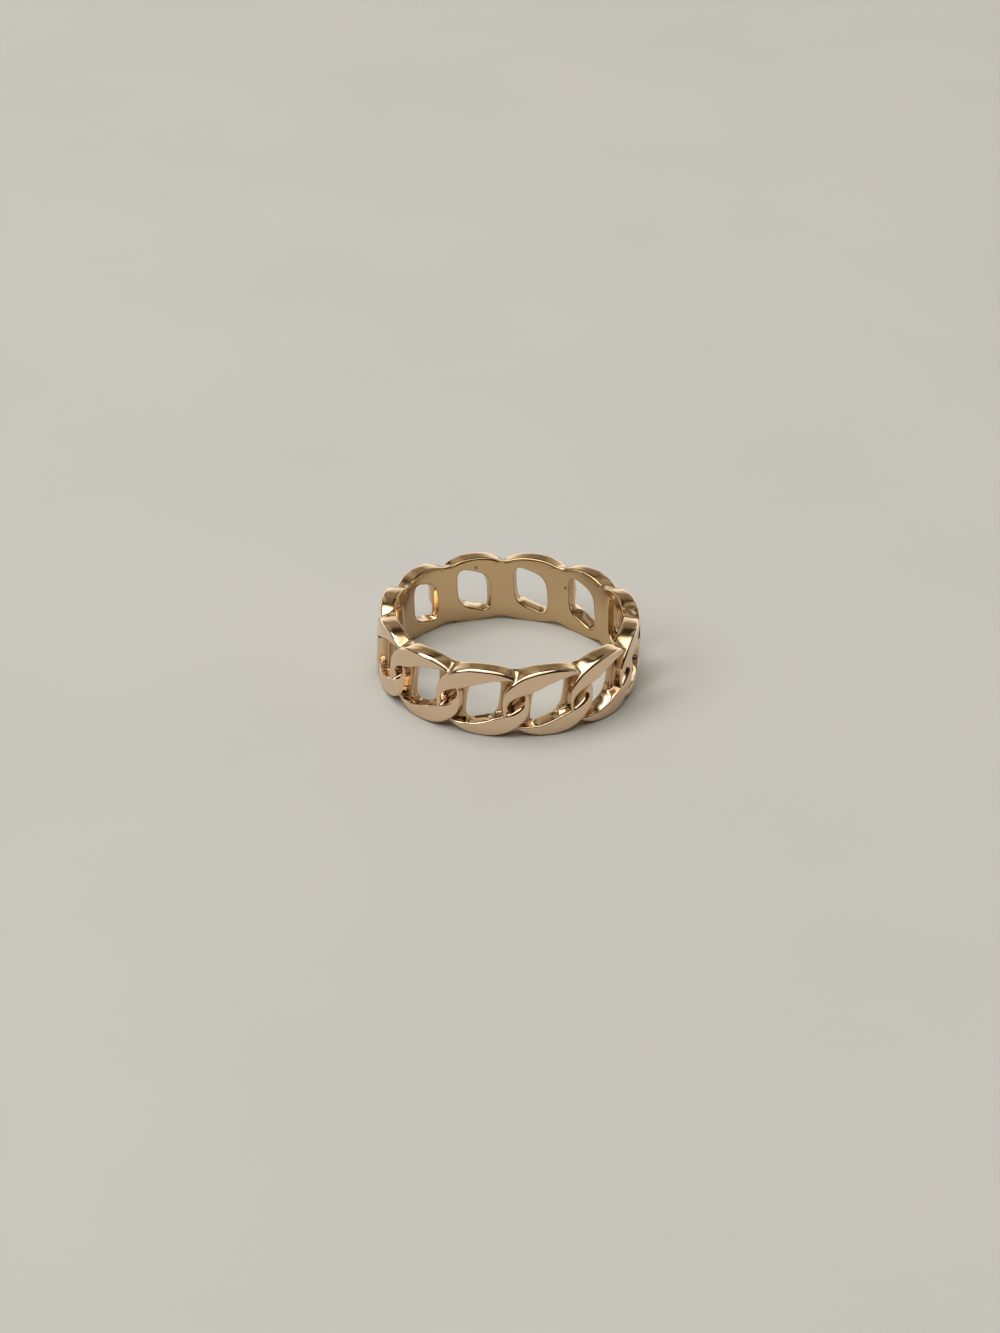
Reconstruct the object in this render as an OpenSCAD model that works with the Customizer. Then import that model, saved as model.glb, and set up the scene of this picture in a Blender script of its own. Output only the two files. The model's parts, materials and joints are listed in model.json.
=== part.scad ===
// Chain link ring: a finger ring cast in one piece as an endless row of interlocked curb links.
// Millimetres. The finger hole runs along Z, and z = 0 is the middle of the band's height.
// Seen from outside with Z up, each link leans to the right: its upper left and lower right
// stand high and its other two corners dive under the next link.

/* [Band] */
// Diameter of the finger hole
bore_d = 17.3; // [15:0.1:21]
// Radial thickness of the band at the top of its links
band_t = 1.43; // [1.2:0.01:1.8]
// Height of the band at the crowns of its links
band_h = 5.5; // [4.8:0.1:6.4]
// Radius of the rounded outer edges, at the crowns
edge_r = 0.25; // [0.1:0.05:0.4]
// Number of links round the band
link_count = 12; // [11:1:13]

/* [Links] */
// How far the end of a link reaches past the middle of its crossing with the next
link_reach = 0.96; // [0.8:0.02:1.1]
// Width of a link's bar at its high end, measured at the middle of the link
bar_w = 1.22; // [1.1:0.02:1.5]
// Width of a link's rounded end
end_w = 0.3; // [0.2:0.02:0.5]
// Angle by which the hole of a link leans
lean = 18; // [12:1:20]
// How far the face of a link dives from its high end to the next crossing
dive = 0.22; // [0.1:0.01:0.4]

/* [Windows] */
// Height of a window in the middle
window_h = 3.34; // [3:0.02:3.6]
// Width of the plate between two windows, along the bore
bridge_w = 2; // [1.8:0.05:2.5]
// Angle by which the sides of a window lean
side_lean = 5; // [2:1:12]
// Thickness of the plate behind the links, where they cross
plate_t = 0.65; // [0.5:0.01:0.8]

/* [Hidden] */

bore_r = bore_d / 2;
outer_r = bore_r + band_t;
plate_r = bore_r + plate_t;
pitch_angle = 360 / link_count;

// Half length and half height of a link's outline, seen along its own radius
link_half_l = outer_r * sin(pitch_angle / 2) + link_reach;
link_half_h = band_h / 2;
// Exponents of the rounded outlines: 2 is an ellipse, and more is squarer
link_squareness = 2.3;
hole_squareness = 3.3;
window_squareness = 3.6;
// Half length and half height of a link's hole, in its leaning frame
hole_half_l = link_half_l - end_w;
hole_half_h = (link_half_h - bar_w) * cos(lean);
// The plate's edge lies inside the bars by this share of the link's outline
plate_share = 0.95;
// Half width of a window, halfway through the band
window_half_w = (bore_r * pitch_angle * PI / 180 - bridge_w) / 2 * (bore_r + outer_r) / 2 / bore_r;

// The face of a half link is a cylinder that touches the outer one at the link's high end
high_angle = asin(link_half_l / outer_r);
face_shift = dive / (1 - cos(high_angle + pitch_angle / 2));
face_r = outer_r - face_shift;
// The two halves of a link meet along a line that climbs at this angle, so that the tip of each
// high end runs into the face of the link that it hooks over
split_angle = 20;
half_overlap = 0.05; // how far the two halves run into one another

through = 1; // how far a cut runs past what it cuts
$fn = 96;

// A rounded outline, whose level lines climb by the angle rise and whose upright lines lean
// by the angle fall
function rounded_outline(half_l, half_h, squareness, rise = 0, fall = 0, count = 36) = [
    for (i = [0 : count - 1])
        let (
            t = 360 * (i + 0.5) / count,
            u = half_l * sign(cos(t)) * pow(abs(cos(t)), 2 / squareness),
            v = half_h * sign(sin(t)) * pow(abs(sin(t)), 2 / squareness)
        )
            [u + v * tan(fall), v + u * tan(rise)]
];

// Stands a flat outline in the band's wall: its x runs round the band and its y up
module wall(from_r, to_r) {
    rotate([90, 0, 90])
        translate([0, 0, from_r])
            linear_extrude(to_r - from_r)
                children();
}

module link_outline() {
    polygon(rounded_outline(link_half_l, link_half_h, link_squareness));
}

module link_hole() {
    rotate(lean)
        polygon(rounded_outline(hole_half_l, hole_half_h, hole_squareness));
}

module window() {
    wall(bore_r - through, outer_r + through)
        polygon(rounded_outline(window_half_w, window_h / 2, window_squareness, lean, side_lean));
}

// The upper half of a link's face, with its high end on the left
module upper_face() {
    intersection() {
        rotate(-high_angle)
            translate([face_shift, 0, 0])
                cylinder(r = face_r, h = band_h + 2 * through, center = true);
        wall(0, outer_r + through)
            rotate(split_angle)
                translate([-2 * link_half_l, -half_overlap])
                    square([4 * link_half_l, band_h]);
    }
}

module link_face() {
    upper_face();
    rotate([180, 0, 0])
        upper_face();
}

module link() {
    intersection() {
        wall(bore_r - through, outer_r + through)
            difference() {
                link_outline();
                link_hole();
            }
        link_face();
    }
}

module plate() {
    intersection() {
        wall(bore_r - through, outer_r + through)
            scale(plate_share)
                link_outline();
        cylinder(r = plate_r, h = band_h, center = true);
    }
}

// The outside that the whole band is turned to, with its two edges rounded
module turned_outside() {
    straight_h = band_h - 2 * edge_r;
    cylinder(r = outer_r, h = straight_h, center = true);
    cylinder(r = outer_r - edge_r, h = band_h, center = true);
    for (side = [-1, 1])
        translate([0, 0, side * straight_h / 2])
            rotate_extrude()
                translate([outer_r - edge_r, 0])
                    circle(r = edge_r);
}

module round_the_band() {
    for (i = [0 : link_count - 1])
        rotate((i + 0.5) * pitch_angle)
            children();
}

module link_band() {
    color("#c9a27a")
        difference() {
            intersection() {
                round_the_band() {
                    link();
                    plate();
                }
                turned_outside();
            }
            round_the_band()
                window();
            cylinder(r = bore_r, h = band_h + 2 * through, center = true);
        }
}

link_band();
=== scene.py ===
# %% [markdown]
# # A chain link ring, as polished metal
#
# The real object is a finger ring cast in one piece. It looks like an endless chain of twelve
# leaning curb links, but the links are fused: only their faces and edges are modelled, and
# twelve windows go right through the band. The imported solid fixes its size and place. This
# lesson gives it its looks: worn round edges, faces that dive under one another, the metal,
# and the pale table and soft light that the metal reflects.
#
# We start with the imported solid, and keep its box so that the finished ring can be held to it.

# %% Load the frame
import json
import math

import bmesh
import bpy
import numpy as np
from mathutils import Matrix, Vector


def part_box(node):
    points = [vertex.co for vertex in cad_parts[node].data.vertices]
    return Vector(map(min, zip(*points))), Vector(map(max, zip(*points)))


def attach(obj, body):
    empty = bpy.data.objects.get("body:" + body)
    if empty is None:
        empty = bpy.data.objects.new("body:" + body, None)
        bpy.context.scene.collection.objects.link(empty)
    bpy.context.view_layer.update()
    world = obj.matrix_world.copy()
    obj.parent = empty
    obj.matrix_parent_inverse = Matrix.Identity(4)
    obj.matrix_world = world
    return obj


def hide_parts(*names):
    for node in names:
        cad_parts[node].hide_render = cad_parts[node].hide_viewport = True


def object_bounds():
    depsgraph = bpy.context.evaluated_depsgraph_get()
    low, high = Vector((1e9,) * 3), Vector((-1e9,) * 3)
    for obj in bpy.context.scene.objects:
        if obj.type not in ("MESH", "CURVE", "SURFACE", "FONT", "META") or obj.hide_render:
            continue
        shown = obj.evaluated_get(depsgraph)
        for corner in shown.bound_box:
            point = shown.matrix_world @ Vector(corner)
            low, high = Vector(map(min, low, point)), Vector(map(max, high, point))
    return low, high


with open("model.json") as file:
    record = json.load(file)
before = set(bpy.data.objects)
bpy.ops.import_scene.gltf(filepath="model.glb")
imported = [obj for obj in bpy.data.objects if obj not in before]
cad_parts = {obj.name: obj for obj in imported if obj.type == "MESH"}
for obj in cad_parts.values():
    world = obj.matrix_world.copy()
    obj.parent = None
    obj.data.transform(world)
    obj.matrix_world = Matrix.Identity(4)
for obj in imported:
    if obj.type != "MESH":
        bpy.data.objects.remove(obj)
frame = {"nodes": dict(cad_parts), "record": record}
cad_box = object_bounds()
print("packed nodes:", sorted(frame["nodes"]))

# %% [markdown]
# ## Sizes
#
# Everything below is worked out in millimetres, and turned into metres when a mesh is made.
# The finger hole's radius comes from the record's bore, and the band's outer radius and half
# height from the solid's box, so the two models can't drift apart. The rest are the sizes of one
# link. Its plan is drawn as if we looked at it along its own radius: x runs round the band at the
# outer face and z runs up the finger hole. Neighbouring links meet in notches at the band's top
# and bottom edges.

# %% Sizes of the band and of one link
MM = 0.001
LINKS = 12
PITCH = 2 * math.pi / LINKS
HALF_PITCH = PITCH / 2

bore = next(m for m in frame["record"]["mounts"] if m["name"] == "finger_bore")
BORE_R = bore["dims"]["r_mm"]
band_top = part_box("link_band")[1]
RIPPLE = 0.012                       # how uneven the polished faces are
OUTER_R = band_top.x / MM - RIPPLE
HALF_H = band_top.z / MM
PLATE_T = 0.65                       # thickness of the plate behind the links

NOTCH_X = OUTER_R * math.sin(HALF_PITCH)      # from a link's middle to the notch beside it
LINK_REACH = 0.96                    # how far a link's end reaches past the notch
LINK_HALF_L = NOTCH_X + LINK_REACH
END_W = 0.3                          # width of a link's bar at its rounded end
BAR_W = 1.22                         # and at the middle of the link
LEAN = math.radians(18)              # by which the hole of a link leans
WINDOW_HALF_W = 1.36
WINDOW_HALF_H = 1.67
WINDOW_LEAN = math.radians(5)        # by which a window's upright sides lean
LINK_SQUARENESS = 2.3                # powers of the rounded outlines: 2 is an ellipse
HOLE_SQUARENESS = 3.3
WINDOW_SQUARENESS = 3.6
print(f"bore {BORE_R:.2f}, outside {OUTER_R:.2f}, half height {HALF_H:.2f} mm")

# %% [markdown]
# ## Rounded outlines
#
# A link, its hole and a window are all rounded quadrilaterals. One family of curves draws all
# three: the superellipse, |u / half length| to a power plus |v / half height| to the same power
# equals one. Power 2 is an ellipse, and a higher power is squarer. The two axes may be turned or
# sheared, which gives the lean. An outline here can do two things: give points on itself, and
# tell how deep inside it a place lies. The depth is what lets us round an edge later.

# %% The outlines of a link, its hole and a window
class Outline:
    """Places (x, z) = axes @ (u, v) with |u / half_l| ** power + |v / half_h| ** power = 1."""

    LEAST_RADIUS = 0.05      # keeps the depth finite at the middle

    def __init__(self, half_l, half_h, power, axes=((1, 0), (0, 1))):
        self.half_l, self.half_h, self.power = half_l, half_h, power
        self.axes = np.array(axes, float)
        self.inverse = np.linalg.inv(self.axes)

    def points(self, turn):
        """x and z at the angle turn: each half size times the cosine, or the sine, to the
        power 2 / power, with its sign kept."""
        c, s = np.cos(turn), np.sin(turn)
        u = self.half_l * np.sign(c) * np.abs(c) ** (2 / self.power)
        v = self.half_h * np.sign(s) * np.abs(s) ** (2 / self.power)
        return self.axes @ np.array([u, v])

    def shares(self, x, z):
        """u / half_l and v / half_h of the place (x, z)."""
        u, v = np.tensordot(self.inverse, np.array(np.broadcast_arrays(x, z)), 1)
        return u / self.half_l, v / self.half_h

    def radius(self, x, z):
        """The outline's own radius at (x, z): 1 on the outline, and 2 twice as far out."""
        a, b = np.abs(self.shares(x, z))
        return (a ** self.power + b ** self.power) ** (1 / self.power)

    def depth(self, x, z):
        """How far inside the outline (x, z) lies: (1 - g) over the length of g's slope,
        where g is the outline's own radius. Below zero outside."""
        a, b = self.shares(x, z)
        g = np.maximum(self.radius(x, z), self.LEAST_RADIUS)
        slope = np.array([np.sign(a) * (np.abs(a) / g) ** (self.power - 1) / self.half_l,
                          np.sign(b) * (np.abs(b) / g) ** (self.power - 1) / self.half_h])
        gx, gz = np.tensordot(self.inverse.T, slope, 1)
        return (1 - g) / np.hypot(gx, gz)

    def other(self, share):
        """One share of a place on the outline from the other: the two to the power make 1."""
        return (1 - np.abs(share) ** self.power) ** (1 / self.power)


turned = ((math.cos(LEAN), -math.sin(LEAN)), (math.sin(LEAN), math.cos(LEAN)))
sheared = ((1, math.tan(WINDOW_LEAN)), (math.tan(LEAN), 1))
LINK = Outline(LINK_HALF_L, HALF_H, LINK_SQUARENESS)
HOLE = Outline(LINK_HALF_L - END_W, (HALF_H - BAR_W) * math.cos(LEAN), HOLE_SQUARENESS, turned)
WINDOW = Outline(WINDOW_HALF_W, WINDOW_HALF_H, WINDOW_SQUARENESS, sheared)


def crown(x):
    """Height of a link's top edge at x."""
    return HALF_H * LINK.other(x / LINK_HALF_L)


print(f"a notch between two links is {2 * crown(NOTCH_X):.2f} mm high")

# %% [markdown]
# ## The relief of the outside
#
# The outside could be made of swept bars joined by booleans, but then each seam would be a
# knife edge, and real castings have none. Instead the outside is one height: how far the metal
# stands from the axis at each angle and height. It is built from three small formulas: an easing
# from 0 to 1, the drop of a rounded edge by how deep a place lies inside the bar, and the higher
# of two surfaces with a fillet where they meet.

# %% Edges and fillets
STEEP = 8.0            # slope of a bar's outer side
FILLET = 0.12          # size of the fillet where two links meet


def ease(value, start, over):
    """0 up to start and 1 from over past it: t * t * (3 - 2 * t) for the share t between."""
    t = np.clip((value - start) / over, 0, 1)
    return t * t * (3 - 2 * t)


def roll_off(depth, radius, slope=STEEP):
    """Drop of a surface near its edge: an arc that ends at the wall's slope, then the wall."""
    reach = radius * slope / np.sqrt(1 + slope ** 2)
    short = np.clip(reach - depth, 0, reach)
    return radius - np.sqrt(radius ** 2 - short ** 2) + slope * np.clip(-depth, 0, None)


def highest(a, b, blend=FILLET):
    """The greater of two heights, and a parabola above it while they differ by under blend."""
    near = np.clip(1 - np.abs(a - b) / blend, 0, None)
    return np.maximum(a, b) + blend * near ** 2 / 4


print(f"an edge rounded by 0.2 mm has dropped {roll_off(0.0, 0.2):.2f} mm where its wall starts")

# %% [markdown]
# A half link is a face that is filed flush with the band at its hooked end and dives away from
# it. That face is a cylinder whose axis is shifted towards the hooked end. The outside is the
# highest of all half links and the plate behind them. A half turn about a link's own radius swaps
# its two halves, so one formula serves both.

# %% Heights that make up the outside
DIVE = 0.22            # how far a face has dived by its next crossing
HIGH_ANGLE = math.asin(LINK_HALF_L / OUTER_R)      # from a link's middle to its high end
FACE_SHIFT = DIVE / (1 - math.cos(HIGH_ANGLE + HALF_PITCH))
SPLIT = math.radians(16)             # climb of the line along which the two halves meet
RIM_ROUND = 0.26       # radius of the rounded outer edge along the crowns
SIDE_ROUND = 0.1       # and down the hooked side of a link
HOLE_ROUND = 0.13      # radius of a bar's inner edge at the window
HOOK_ROUND = 0.34      # and where it curls round the end of the hole
TIP_ROUND = 0.16       # and at a hook's tip, where it sinks into the next link
PLATE_ROUND = 0.08
HOLE_SLOPE = 3.5       # slope of a bar's inner side, at the window
HOLLOW_SLOPE = 2.0     # and inside the hollow at the end of its hole
# Where one radius turns into the next: from the first number on, over the length of the second
SIDE_TO_RIM = (0.8, 1.1)             # height above the middle
HOLE_TO_HOOK = (1.6, 1.2)            # distance to the left of the middle


def half_link(angle, z, window_depth):
    """Height of the upper half of a link centred on angle 0, its hook on the left: the face,
    less the drops at the link's edge, at the hole's edge and at the line between the halves."""
    x = OUTER_R * np.sin(angle)
    swing = angle + HIGH_ANGLE
    face_r = OUTER_R - FACE_SHIFT
    face = FACE_SHIFT * np.cos(swing) + np.sqrt(face_r ** 2 - (FACE_SHIFT * np.sin(swing)) ** 2)
    rim_round = SIDE_ROUND + (RIM_ROUND - SIDE_ROUND) * ease(z, *SIDE_TO_RIM)
    curl = ease(-x, *HOLE_TO_HOOK)
    hole_round = HOLE_ROUND + (HOOK_ROUND - HOLE_ROUND) * curl
    slope = HOLE_SLOPE + (HOLLOW_SLOPE - HOLE_SLOPE) * curl
    hole_depth = -highest(HOLE.depth(x, z), window_depth)
    split_depth = z * math.cos(SPLIT) - x * math.sin(SPLIT)
    return (face - roll_off(LINK.depth(x, z), rim_round) - roll_off(hole_depth, hole_round, slope)
            - roll_off(split_depth, TIP_ROUND))


def outside(angle, z):
    """Distance of the outside from the axis, near the link centred on angle 0: the highest of
    the plate and the halves of this link and its two neighbours."""
    window_depth = WINDOW.depth(OUTER_R * np.sin(angle), z)
    height = BORE_R + PLATE_T - roll_off(-window_depth, PLATE_ROUND)
    for step in (-PITCH, 0, PITCH):
        for side in (1, -1):
            height = highest(height, half_link(side * (angle - step), side * z, window_depth))
    return height


print(f"the outside is {outside(0.0, 2.0):.2f} mm from the axis near a crown")

# %% [markdown]
# Polishing by hand leaves broad, shallow waves, which make the reflections wander. They are a sum
# of three sines whose counts round the band are whole numbers, so that the last link meets the
# first.

# %% Waves of hand polishing
WAVES = ((29, 1.9, 1), (-41, 3.1, 2), (67, -2.3, 4))   # count round the band, climb and start


def ripple(angle, z):
    """Unevenness of the outside at an angle round the whole band: the mean of the waves'
    sines of count * angle + climb * z + start."""
    waves = sum(np.sin(count * angle + rise * z + start) for count, rise, start in WAVES)
    return RIPPLE / len(WAVES) * waves


print(f"on the first crown the waves move the face by {ripple(HALF_PITCH, HALF_H):.4f} mm")

# %% [markdown]
# ## A grid that follows the edges
#
# A polished edge shows every kink in its mesh, so the grid lines have to run along the edges. One
# cell of the band, a twelfth of it, is a sheet with a hole in it, the window. Its grid is a web:
# rows go round the window and columns go outwards from it. Three closed curves steer it: the
# window's edge, the cell's edge, and between them the opening, which is the gap that the four
# bars round the window leave free. All curves are drawn in the link's plan, in x and z.
#
# The four bars' edges cross at four corners. Two of them are the half turns of the others, so
# two are enough: where the hooked side of the next link crosses over the upper bar, and
# where it sinks behind the lower bar. The third key height belongs to the hollow at the end of
# the hole. Its columns start a little above the place where the hole's edge meets the line
# between two cells, so that the rounding there has columns of its own.

# %% Where the edges cross
FINE = 2000            # points of a curve that is only searched or measured
HOLLOW_LIFT = 0.2      # how far above that place the hollow's columns start
NOTCH_Z = crown(NOTCH_X)


def hooked_side(z):
    """x of the next link's hooked side at height z."""
    reach = LINK_HALF_L * LINK.other(z / HALF_H)
    return OUTER_R * np.sin(PITCH - np.arcsin(reach / OUTER_R))


def crossing(way, depth):
    """Value of way where the depth along it changes sign, on a straight line between points."""
    i = np.flatnonzero(np.diff(np.sign(depth)))[0]
    return way[i] + (way[i + 1] - way[i]) * depth[i] / (depth[i] - depth[i + 1])


climb = np.linspace(0, NOTCH_Z, FINE)
over_z = crossing(climb, HOLE.depth(hooked_side(climb), climb))
under_z = crossing(-climb, HOLE.depth(hooked_side(-climb), -climb))
hollow_z = crossing(climb, HOLE.depth(-NOTCH_X, climb)) + HOLLOW_LIFT
print(f"a hook crosses over at {over_z:.2f} and sinks in at {under_z:.2f}, "
      f"and the hollow reaches {hollow_z:.2f}")

# %% [markdown]
# Grid lines are dealt out to each stretch between two corners, so that columns join like to
# like. Half of each curve is worked out, and the other half is its half turn. The window's edge
# needs no dealing out: each of its points lies on the way from the opening to the middle, so the
# columns fan out from it and never cross.

# %% The three guiding curves
CROWN_LINES = 26       # columns that end on the crown of a link
NOTCH_LINES = 24       # on the line between two cells above the hollow, and again below it
HOLLOW_LINES = 26      # and along the hollow
TOP_LINES = NOTCH_LINES + CROWN_LINES
BORDER_LINES = NOTCH_LINES + HOLLOW_LINES
CROWN_PULL = 0.5       # how strongly columns crowd towards the notches
NOTCH_POWER = 1.4      # and towards the top of the line between two cells
LEAST_GAP = 0.15       # between the window and the opening
OPENING_BLEND = 0.3    # size of the opening's fillets
HOLE_TOP = (150, 0)    # degrees: the part of an outline's own angle that bounds the opening
WINDOW_TOP = (170, 10)


def crowded(count, pull):
    """Shares from 0 to 1, closer together at both ends: t less a sine of the full turn."""
    t = np.linspace(0, 1, count + 1)
    return t - pull * np.sin(2 * math.pi * t) / (2 * math.pi)


def spread(curve, count):
    """count places along a fine curve, evenly by its length and without its last place."""
    way = np.concatenate([[0], np.cumsum(np.hypot(*np.diff(curve, axis=1)))])
    goal = np.linspace(0, way[-1], count + 1)[:-1]
    return np.array([np.interp(goal, way, row) for row in curve])


def whole(*stretches):
    """Half a curve and its half turn, as one closed loop."""
    half = np.concatenate(stretches, axis=1)
    return np.concatenate([half, -half], axis=1)


top_x = np.linspace(-hooked_side(under_z), hooked_side(over_z), FINE)
hole_x, hole_z = HOLE.points(np.radians(np.linspace(*HOLE_TOP, FINE)))
arc_x, arc_z = WINDOW.points(np.radians(np.linspace(*WINDOW_TOP, FINE)))
above_window = np.interp(top_x, arc_x, arc_z + LEAST_GAP, left=-HALF_H, right=-HALF_H)
top_z = highest(np.interp(top_x, hole_x, hole_z), above_window, OPENING_BLEND)
down = np.concatenate([np.linspace(over_z, 0, NOTCH_LINES, endpoint=False),
                       np.linspace(0, under_z, HOLLOW_LINES, endpoint=False)])
opening = whole(spread(np.array([top_x, top_z]), TOP_LINES), np.array([hooked_side(down), down]))
window_edge = opening / WINDOW.radius(*opening)

share = np.linspace(0, 1, NOTCH_LINES + 1)
notch_rise = NOTCH_Z - (NOTCH_Z - hollow_z) * (1 - share) ** NOTCH_POWER
crown_x = NOTCH_X * (2 * crowded(CROWN_LINES, CROWN_PULL)[:-1] - 1)
hollow_fall = np.linspace(hollow_z, -hollow_z, HOLLOW_LINES, endpoint=False)
cell_edge = whole(np.array([np.full(NOTCH_LINES, -NOTCH_X), notch_rise[:-1]]),
                  np.array([crown_x, crown(crown_x)]),
                  np.array([np.full(NOTCH_LINES, NOTCH_X), notch_rise[:0:-1]]),
                  np.array([np.full(HOLLOW_LINES, NOTCH_X), hollow_fall]))
print(f"{cell_edge.shape[1]} columns leave each window")

# %% [markdown]
# ## From curves to sheets
#
# Between two guiding curves the grid rows crowd towards both, because that is where the
# surface bends. A cell then has five sheets: the outside, the inside, the window's wall
# that joins them, and the two rims along the crowns. Every sheet is a grid of rows and columns,
# and neighbouring sheets share their border points exactly, so they can be welded.

# %% Rows of the outside
GAP_ROWS = 10          # between the window and the opening
BAR_ROWS = 20          # and from there to the cell's edge
ROW_PULL = 0.75        # how strongly rows crowd towards the edges
FREE_POWER = 1.25      # and towards the opening alone, where the cell's edge is no real edge


def between(a, b, shares):
    """Rows of places from curve a to curve b, as a grid of (row, column) for x and z."""
    return a[:, None, :] + shares * (b - a)[:, None, :]


# 1 for the columns that end on the line between two cells, where the surface runs on
free = np.concatenate([np.zeros(TOP_LINES), np.sin(np.linspace(0, math.pi, BORDER_LINES)) ** 0.5])
free = np.tile(free, 2)
bar_shares = (crowded(BAR_ROWS, ROW_PULL)[:, None] * (1 - free)
              + np.linspace(0, 1, BAR_ROWS + 1)[:, None] ** FREE_POWER * free)
gap_grid = between(window_edge, opening, crowded(GAP_ROWS, ROW_PULL)[:, None])
bar_grid = between(opening, cell_edge, bar_shares)
outer_x, outer_z = np.concatenate([gap_grid, bar_grid[:, 1:]], axis=1)
outer_angle = np.arcsin(outer_x / OUTER_R)
print("rows and columns of the outside:", outer_x.shape)

# %% [markdown]
# The rims carry the notches between the links. At the outer face a notch is a sharp V. Towards the
# finger hole the casting has filled it up to a soft valley. The inside is a plain cylinder whose
# edges are softly broken, at the windows and along the rims.

# %% The rims and the inside
VALLEY = 0.55          # half width of the valley at the finger hole
BORE_ROUND = 0.1
RIM_COS = 0.93         # cosine of the rim's usual slope, which turns a height into a depth
STEP = 0.001           # for measuring a slope
TINY = 1e-6            # half width of the valley at the outer face: a sharp V


def rim_height(angle, plan_r):
    """Height of the rim over a link: its crown, and near the notch a parabola that levels out."""
    notch_x = plan_r * math.sin(HALF_PITCH)
    x = plan_r * np.sin(np.abs(angle))
    slope = (crown(notch_x - STEP) - crown(notch_x)) / STEP
    width = VALLEY * (OUTER_R - plan_r) / (OUTER_R - BORE_R) + TINY
    into = np.clip(width - (notch_x - x), 0, None)
    return crown(x) + slope * into ** 2 / (2 * width)


def inside(angle, z):
    """Distance of the finger hole's wall from the axis: its radius, and the drop of a rounded
    edge by the lesser of the depths from the window and from the rim."""
    rim_depth = RIM_COS * (rim_height(angle, BORE_R) - np.abs(z))
    depth = np.minimum(-WINDOW.depth(BORE_R * np.sin(angle), z), rim_depth)
    return BORE_R + roll_off(np.maximum(depth, 0), BORE_ROUND)


edge_angle = np.arcsin(cell_edge[0] / OUTER_R)
on_crown = np.tile(np.repeat([False, True, False], [NOTCH_LINES, CROWN_LINES, BORDER_LINES]), 2)
notch_in = rim_height(HALF_PITCH, BORE_R)
edge_in_z = np.where(on_crown, np.sign(cell_edge[1]) * rim_height(edge_angle, BORE_R),
                     cell_edge[1] * notch_in / NOTCH_Z)
print(f"a notch is {2 * notch_in:.2f} mm high at the finger hole")

# %% [markdown]
# The inside is flat but for its two rounded edges, so its rows crowd hard towards both. Columns
# that run to a corner of the cell are longer than the others. Their rows keep the distances that
# a column of ordinary length gives them, or the rounding would widen at the corners.

# %% Rows of the inside
IN_ROWS = 8
IN_PULL = 0.95
USUAL_LENGTH = 1.2     # of a column of the inside

inner_window = np.array([np.arcsin(window_edge[0] / BORE_R), window_edge[1]])
inner_border = np.array([edge_angle, edge_in_z])
away_angle, away_z = inner_border - inner_window
length = np.hypot(BORE_R * away_angle, away_z)
near = crowded(IN_ROWS, IN_PULL)[:IN_ROWS // 2, None] * np.minimum(1, USUAL_LENGTH / length)
in_shares = np.concatenate([near, np.full((1, len(length)), 0.5), 1 - near[::-1]])
inner_angle, inner_z = between(inner_window, inner_border, in_shares)
print(f"columns of the inside are {length.min():.2f} to {length.max():.2f} mm long")

# %% [markdown]
# A place on the band is an angle, a height and a distance from the axis. The next cell turns
# all five sheets of a cell into such places, for a link whose centre is at a given angle.

# %% The sheets of one cell
WALL_ROWS = 2
RIM_ROWS = 4


def places(angle, z, radius):
    """Points in millimetres from angle, height and distance from the axis."""
    return np.stack([radius * np.cos(angle), radius * np.sin(angle), z + 0 * radius], axis=-1)


def cell_sheets(centre):
    """Outside, inside, window wall and two rims of the cell at centre, as grids of points.
    The wall and the rims go straight from the outside's border to the inside's."""
    outer_r = outside(outer_angle, outer_z) + ripple(outer_angle + centre, outer_z)
    inner_r = inside(inner_angle, inner_z)
    way_in = np.linspace(0, 1, WALL_ROWS + 1)[:, None]
    wall_angle, wall_z, wall_r = [out[0] + way_in * (within[0] - out[0]) for out, within in (
        (outer_angle, inner_angle), (outer_z, inner_z), (outer_r, inner_r))]
    sheets = [places(outer_angle + centre, outer_z, outer_r),
              places(inner_angle + centre, inner_z, inner_r)[::-1],
              places(wall_angle + centre, wall_z, wall_r)[::-1]]
    way_in = np.linspace(0, 1, RIM_ROWS + 1)[:, None]
    plan_r = OUTER_R + way_in * (BORE_R - OUTER_R)
    for start in (NOTCH_LINES, NOTCH_LINES + outer_x.shape[1] // 2):
        column = start + np.arange(CROWN_LINES + 1)
        rim_angle = edge_angle[column]
        rim_r = outer_r[-1, column] + way_in * (inner_r[-1, column] - outer_r[-1, column])
        rim_z = np.sign(cell_edge[1, column]) * rim_height(rim_angle, plan_r)
        sheets.append(places(rim_angle + centre, rim_z, rim_r))
    return sheets


print("sheets of a cell:", [sheet.shape[:2] for sheet in cell_sheets(HALF_PITCH)])

# %% [markdown]
# ## One closed mesh
#
# All sheets of all cells go into one list of points, and their quads into one list of faces.
# The outside and its neighbours meet in points that are equal but for rounding, so a merge by
# distance welds them. Two numbers tell that the weld is sound. In a closed mesh, points less
# edges plus faces is two less twice the number of holes, and the band has thirteen holes, its
# windows and the finger hole. The signed volume is the sum over the triangles of a third of the
# height of each over the origin times its area, and it is above zero where the faces look
# outwards.

# %% Build the band
WELD = 2e-7            # metres: the nearest grid points are over ten times further apart


def quads(rows, columns, start, closed):
    """Faces of a grid of points whose first index is start, as a list of four indices each."""
    r = np.arange(rows - 1)[:, None]
    c = np.arange(columns if closed else columns - 1)[None, :]
    after = (c + 1) % columns
    this_row, next_row = r * columns, (r + 1) * columns
    corners = [this_row + c, this_row + after, next_row + after, next_row + c]
    return start + np.stack(corners, axis=-1).reshape(-1, 4)


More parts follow.
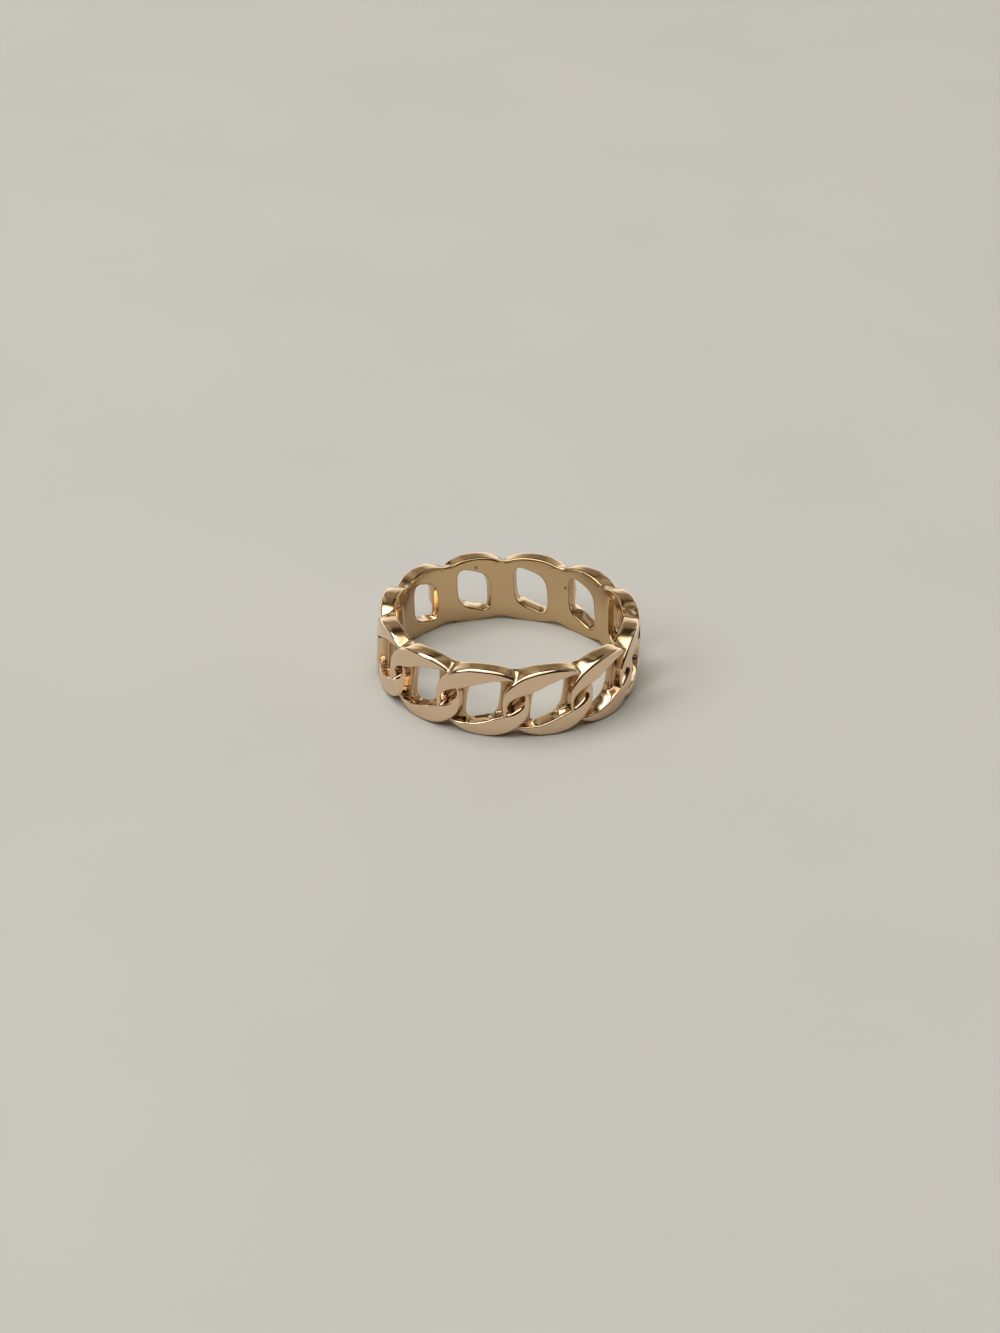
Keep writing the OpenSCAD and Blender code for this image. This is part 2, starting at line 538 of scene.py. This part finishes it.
def band_mesh():
    """Points in metres and quads of all the cells."""
    points, faces, start = [], [], 0
    for link in range(LINKS):
        for sheet in cell_sheets((link + 0.5) * PITCH):
            rows, columns = sheet.shape[:2]
            points.append(sheet.reshape(-1, 3) * MM)
            faces.append(quads(rows, columns, start, closed=columns > CROWN_LINES + 1))
            start += rows * columns
    return np.concatenate(points), np.concatenate(faces)


def add_object(name, data):
    """An object in the scene from its mesh, camera or light."""
    made = bpy.data.objects.new(name, data)
    bpy.context.scene.collection.objects.link(made)
    return made


def make_mesh(name, points, faces):
    """A Blender object from arrays, welded and smooth."""
    mesh = bpy.data.meshes.new(name)
    mesh.from_pydata(points.tolist(), [], faces.tolist())
    welder = bmesh.new()
    welder.from_mesh(mesh)
    bmesh.ops.remove_doubles(welder, verts=welder.verts, dist=WELD)
    open_edges = sum(not edge.is_manifold for edge in welder.edges)
    holes = 1 - (len(welder.verts) - len(welder.edges) + len(welder.faces)) // 2
    volume = welder.calc_volume(signed=True) / MM ** 3
    welder.to_mesh(mesh)
    welder.free()
    mesh.shade_smooth()
    print(f"{name}: {len(mesh.polygons)} faces, {open_edges} open edges, {holes} holes, "
          f"{volume:.1f} mm3")
    return add_object(name, mesh)


band = make_mesh("polished_band", *band_mesh())
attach(band, "root")
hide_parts("link_band")

# %% [markdown]
# ## Shader formulas in Python
#
# A material is a formula over the surface. Wiring it by hand hides the formula, so a small
# class stands for a node's output and turns Python arithmetic into Math nodes.

# %% A small language for shader formulas
class Shade:
    """One output of a shader node. Arithmetic on it adds Math nodes."""

    def __init__(self, nodes, socket):
        self.nodes, self.socket = nodes, socket

    def __add__(self, other):
        return self.nodes.math("ADD", self, other)

    def __sub__(self, other):
        return self.nodes.math("SUBTRACT", self, other)

    def __rsub__(self, other):
        return self.nodes.math("SUBTRACT", other, self)

    def __mul__(self, other):
        return self.nodes.math("MULTIPLY", self, other)

    def __truediv__(self, other):
        return self.nodes.math("DIVIDE", self, other)

    __radd__ = __add__
    __rmul__ = __mul__

    def clamped(self):
        """This number held between 0 and 1."""
        return self.nodes.math("ADD", self, 0.0, clamp=True)

    def fade(self, start, over):
        """0 up to start and 1 from over past it. Where over is below zero it runs back."""
        return ((self - start) / over).clamped()


class Nodes:
    """The nodes of one material or of the world."""

    def __init__(self, owner):
        owner.use_nodes = True
        self.tree = owner.node_tree
        self.tree.nodes.clear()

    def add(self, kind, settings=None, inputs=None, output=0):
        """A node of that kind, its settings first, then its sockets' values or links."""
        node = self.tree.nodes.new(kind)
        for name, value in (settings or {}).items():
            setattr(node, name, value)
        for key, value in (inputs or {}).items():
            if isinstance(value, Shade):
                self.tree.links.new(value.socket, node.inputs[key])
            else:
                node.inputs[key].default_value = value
        return Shade(self, node.outputs[output] if len(node.outputs) else None)

    def math(self, operation, *values, clamp=False):
        """A Math node over up to three values or links."""
        settings = {"operation": operation, "use_clamp": clamp}
        return self.add("ShaderNodeMath", settings, dict(enumerate(values)))

    def vectors(self, operation, *values, output="Value"):
        """A Vector Math node over vectors: a number such as a length, or a vector."""
        settings = {"operation": operation}
        return self.add("ShaderNodeVectorMath", settings, dict(enumerate(values)), output)

    def mix(self, factor, a, b):
        """The colour a where factor is 0 and b where it is 1."""
        settings = {"data_type": "RGBA"}
        return self.add("ShaderNodeMix", settings, {0: factor, 6: a, 7: b}, output=2)

    def noise(self, place, scale, detail):
        """Noise from 0 to 1, with scale lumps to the unit of place."""
        inputs = {"Vector": place, "Scale": scale, "Detail": detail}
        return self.add("ShaderNodeTexNoise", None, inputs)


print("shader formulas know", [name for name in dir(Nodes) if not name.startswith("_")])

# %% [markdown]
# ## The metal
#
# The ring is polished and plated a pale rose gold. A metal has no colour of its own but its
# tint: it shows its surroundings through that tint. The raised faces keep the plain tint. In the
# recesses and on the inside the tint is painted darker, as painted shade, and the hollows at the
# crossings get the darkest painted shade and a little crust. The roughness is low, with faint
# clouds from handling, and a fine bump keeps reflections from being too perfect. Two small
# casting pits show on the inner wall in the photograph, each beside a window, and they are put in
# the same places, with a dark tint of their own.

# %% Rose gold
FACE_TINT = (0.83, 0.62, 0.435, 1)
# Painted shade: the tint of the recesses and the inside, darker than the faces
RECESS_SHADE_TINT = (0.63, 0.44, 0.235, 1)
# Painted shade in the hollows at the crossings, and the casting pits' own dark colour
HOLLOW_SHADE_AND_PIT_TINT = (0.46, 0.3, 0.17, 1)
# The painted shade comes with depth, and the clouds from handling darken the tint at random
BY_DEPTH, BY_CLOUDS = 0.8, 0.2         # how much of the deep tint comes with each

# Where a finish fades in: from the first number on, over the length of the second
DEEP = ((OUTER_R - 0.3) * MM, -0.4 * MM)         # distance from the axis, inwards
OFF_BORE = ((BORE_R + 0.05) * MM, 0.3 * MM)      # distance from the axis, outwards
OFF_RIM = (1.95 * MM, -0.15 * MM)                # height, from the rims to the middle
AT_CROSSING = (0, 0.4)                           # cosine that is 1 at each crossing

CLOUDS, LUMPS, CRUST, GRAIN = (900, 3), (1800, 3), (3500, 2), (9000, 2)   # scale and detail
LUMP_H, GRAIN_H, CRUST_H, PIT_H = 5e-6, 5e-7, 2e-5, 4e-5     # heights of the bumps in metres
POLISH_ROUGH = 0.04
DEEP_ROUGH, HOLLOW_ROUGH, CLOUD_ROUGH, PIT_ROUGH = 0.06, 0.1, 0.05, 0.2   # what each adds
PITS = ((104.3, 2.02), (55.8, 0.88))   # each pit's angle in degrees and its height
PIT_R = 0.15


def in_pits(nodes, place):
    """1 in the middle of the casting pits, 0 outside: 1 less the square of the distance as a
    share of a pit's radius."""
    pitted = 0.0
    for angle, height in PITS:
        spot = places(math.radians(angle), height, BORE_R) * MM
        away = nodes.vectors("DISTANCE", place, spot) / (PIT_R * MM)
        pitted = pitted + (1.0 - away * away).clamped()
    return pitted


def rose_gold():
    """The polished metal, with painted shade that darkens its tint by distance from the axis."""
    material = bpy.data.materials.new("rose_gold")
    nodes = Nodes(material)
    place = nodes.add("ShaderNodeTexCoord", output="Object")
    x, y, z = [nodes.add("ShaderNodeSeparateXYZ", None, {0: place}, axis) for axis in "XYZ"]
    radius = nodes.vectors("LENGTH", nodes.vectors("MULTIPLY", place, (1, 1, 0), output="Vector"))
    at_crossing = nodes.math("COSINE", nodes.math("ARCTAN2", y, x) * LINKS).fade(*AT_CROSSING)
    # How far into the recesses and the inside a place lies: it darkens the tint as painted shade
    deep = radius.fade(*DEEP)
    off_rim = nodes.math("ABSOLUTE", z).fade(*OFF_RIM)
    # The hollows at the crossings: the darkest painted shade, a crust bump and more roughness
    hollow = deep * radius.fade(*OFF_BORE) * off_rim * at_crossing
    pitted = in_pits(nodes, place)
    clouds, lumps, crust, grain = [nodes.noise(place, *kind)
                                   for kind in (CLOUDS, LUMPS, CRUST, GRAIN)]
    # Painted shade: the tint darkens towards the recesses and the inside, and with the clouds at
    # random
    tint_with_painted_shade = nodes.mix(deep * BY_DEPTH + clouds * BY_CLOUDS, FACE_TINT, RECESS_SHADE_TINT)
    # The hollows get the darkest painted shade; the pits take the same tint as their own colour
    tint = nodes.mix((hollow + pitted).clamped(), tint_with_painted_shade, HOLLOW_SHADE_AND_PIT_TINT)
    rough = (POLISH_ROUGH + deep * DEEP_ROUGH + hollow * HOLLOW_ROUGH + clouds * CLOUD_ROUGH
             + pitted * PIT_ROUGH)
    relief = lumps * LUMP_H + grain * GRAIN_H + hollow * crust * CRUST_H - pitted * PIT_H
    bump = nodes.add("ShaderNodeBump", None, {"Strength": 1.0, "Distance": 1.0, "Height": relief})
    metal = nodes.add("ShaderNodeBsdfPrincipled", None, {
        "Base Color": tint, "Metallic": 1.0, "Roughness": rough, "Normal": bump})
    nodes.add("ShaderNodeOutputMaterial", None, {"Surface": metal})
    print(f"{material.name}: {len(nodes.tree.nodes)} nodes")
    return material


band.data.materials.append(rose_gold())

# %% [markdown]
# ## The table
#
# The ring lies on its side edge on a plain pale table. The table matters more than for most
# objects: the upright faces of the band lean back from the camera's line of sight, so what they
# show is mostly table.

# %% A pale table
TABLE_HALF = 0.6                       # metres
TABLE_SHADE, TABLE_PALE = (0.56, 0.555, 0.53, 1), (0.62, 0.61, 0.585, 1)
TABLE_CLOUDS = (40, 3)                 # scale and detail
TABLE_ROUGH = 0.8


def table_material():
    """Matt paper white with faint clouds."""
    material = bpy.data.materials.new("pale_table")
    nodes = Nodes(material)
    place = nodes.add("ShaderNodeTexCoord", output="Object")
    colour = nodes.mix(nodes.noise(place, *TABLE_CLOUDS), TABLE_SHADE, TABLE_PALE)
    inputs = {"Base Color": colour, "Roughness": TABLE_ROUGH}
    paper = nodes.add("ShaderNodeBsdfPrincipled", None, inputs)
    nodes.add("ShaderNodeOutputMaterial", None, {"Surface": paper})
    return material


def make_table():
    """One square face at the height of the ring's lowest edge."""
    corners = [(x * TABLE_HALF, y * TABLE_HALF, cad_box[0].z)
               for x, y in ((-1, -1), (1, -1), (1, 1), (-1, 1))]
    mesh = bpy.data.meshes.new("table")
    mesh.from_pydata(corners, [], [(0, 1, 2, 3)])
    made = add_object("table", mesh)
    made.data.materials.append(table_material())


make_table()
print(f"the table lies at {cad_box[0].z / MM:.2f} mm")

# %% [markdown]
# ## The camera
#
# The camera was fitted to the ring's circles in the photograph: how far it looks down, how it is
# rolled, how far away it is, and where the ring stands in the picture. The fit was made in units
# of the finger hole's radius, with a camera whose picture is 1333 pixels high, and its results
# are kept here as named values.

# %% Camera
PICTURE_H = 1333
FOCAL = 3000                         # in pixels of the picture
SENSOR_H = 36                        # millimetres
NEAREST, FURTHEST = 0.01, 10         # metres
LOOK_DOWN = math.radians(29.09)
ROLL = math.radians(-2.21)
RING_PLACE = np.array([0.0735, -0.2147, 26.548])   # right, down and away, in bore radii
RING_TURN = math.radians(4.195)      # turn of the ring about its axis, seen from above
RING_LIFT = 0.013                    # of its middle, in bore radii


def standing(x_axis, y_axis, z_axis, place):
    """Matrix of an object with these axes at that place, in metres."""
    matrix = np.eye(4)
    matrix[:3] = np.column_stack([x_axis, y_axis, z_axis, place])
    return Matrix(matrix.tolist())


def make_camera():
    """A camera that looks down at the ring. Its place is the ring's place in the picture,
    turned back into the ring's own axes."""
    ahead = np.array([0, math.cos(LOOK_DOWN), -math.sin(LOOK_DOWN)])
    level = np.array([1.0, 0, 0])
    below = np.cross(ahead, level)
    c, s = math.cos(ROLL), math.sin(ROLL)
    right, down = c * level + s * below, c * below - s * level
    place = -np.array([right, down, ahead]).T @ RING_PLACE - np.array([0, 0, RING_LIFT])
    data = bpy.data.cameras.new("camera")
    data.sensor_fit = "VERTICAL"
    data.sensor_height = SENSOR_H
    data.lens = SENSOR_H * FOCAL / PICTURE_H
    data.clip_start, data.clip_end = NEAREST, FURTHEST
    made = add_object("camera", data)
    turn = Matrix.Rotation(-RING_TURN, 4, "Z")
    made.matrix_world = turn @ standing(right, -down, -ahead, place * BORE_R * MM)
    return made


camera = make_camera()
bpy.context.scene.camera = camera
print("camera at", [round(v, 4) for v in camera.matrix_world.translation])

# %% [markdown]
# ## Light
#
# Polished metal needs something to reflect, so the sky is a room made of a few bands. Overhead is
# a bright ceiling, whose middle leans to the left and towards the camera. Ahead, along the
# horizon, runs a pale wall. Between the two and behind the camera the room is dark and brown,
# with soft blotches that stand for the things in it. A rounded edge then shows a bright line,
# from the ceiling, beside a dark one, from the room, which is how the photo shows the edges. Two
# soft lamps add a faint shadow on the table.

# %% The room
CEILING_AXIS = (-0.17, -0.13, 0.977)   # towards the ceiling's middle
AHEAD_AXIS = (0.07, 1, 0)
UP_AXIS = (0, 0, 1)
CEILING_EDGE = (0.77, 0.08)            # fades over the cosine from the ceiling's middle
PALE_EDGE = (0.4, -0.18)               # over the sine of the height above the horizon
AHEAD_EDGE = (-4 / 9, 10 / 9)          # over the cosine from straight ahead
CLUTTER = (4.0, 2)                     # scale and detail of the blotches
CLUTTER_EDGE = (0.375, 0.25)           # over their noise
CEILING_LIGHT = (1.66, 1.62, 1.51, 1)
PALE_LIGHT = (1.25, 1.24, 1.18, 1)
CLUTTER_DARK, CLUTTER_LIGHT = (0.04, 0.028, 0.016, 1), (0.54, 0.48, 0.38, 1)
BEHIND_LIGHT = (0.03, 0.022, 0.014, 1)


def make_room():
    """The sky: blotches, the pale band over them, darkness behind, and the ceiling over all."""
    world = bpy.data.worlds.new("room")
    bpy.context.scene.world = world
    nodes = Nodes(world)
    direction = nodes.add("ShaderNodeTexCoord", output="Generated")
    up, ahead, height = [nodes.vectors("DOT_PRODUCT", direction, axis)
                         for axis in (CEILING_AXIS, AHEAD_AXIS, UP_AXIS)]
    clutter = nodes.noise(direction, *CLUTTER).fade(*CLUTTER_EDGE)
    room = nodes.mix(clutter, CLUTTER_DARK, CLUTTER_LIGHT)
    room = nodes.mix(height.fade(*PALE_EDGE), room, PALE_LIGHT)
    room = nodes.mix(ahead.fade(*AHEAD_EDGE), BEHIND_LIGHT, room)
    room = nodes.mix(up.fade(*CEILING_EDGE), room, CEILING_LIGHT)
    light = nodes.add("ShaderNodeBackground", None, {"Color": room, "Strength": 1.0})
    nodes.add("ShaderNodeOutputWorld", None, {"Surface": light})


def lamp(name, place, size, power):
    """A round soft lamp at that place, facing the ring. Metres and watts."""
    data = bpy.data.lights.new(name, "AREA")
    data.shape, data.size, data.energy = "DISK", size, power
    place = np.array(place, float)
    back = place / np.linalg.norm(place)
    side = np.cross(UP_AXIS, back)
    side /= np.linalg.norm(side)
    add_object(name, data).matrix_world = standing(side, np.cross(back, side), back, place)


make_room()
lamp("ceiling_lamp", (-0.12, 0.1, 0.5), size=0.3, power=0.5)
lamp("window_lamp", (-0.42, -0.12, 0.34), size=0.22, power=0.5)

bpy.context.scene.view_settings.view_transform = "Standard"      # colours without a film curve
print("lights:", sorted(light.name for light in bpy.data.lights))
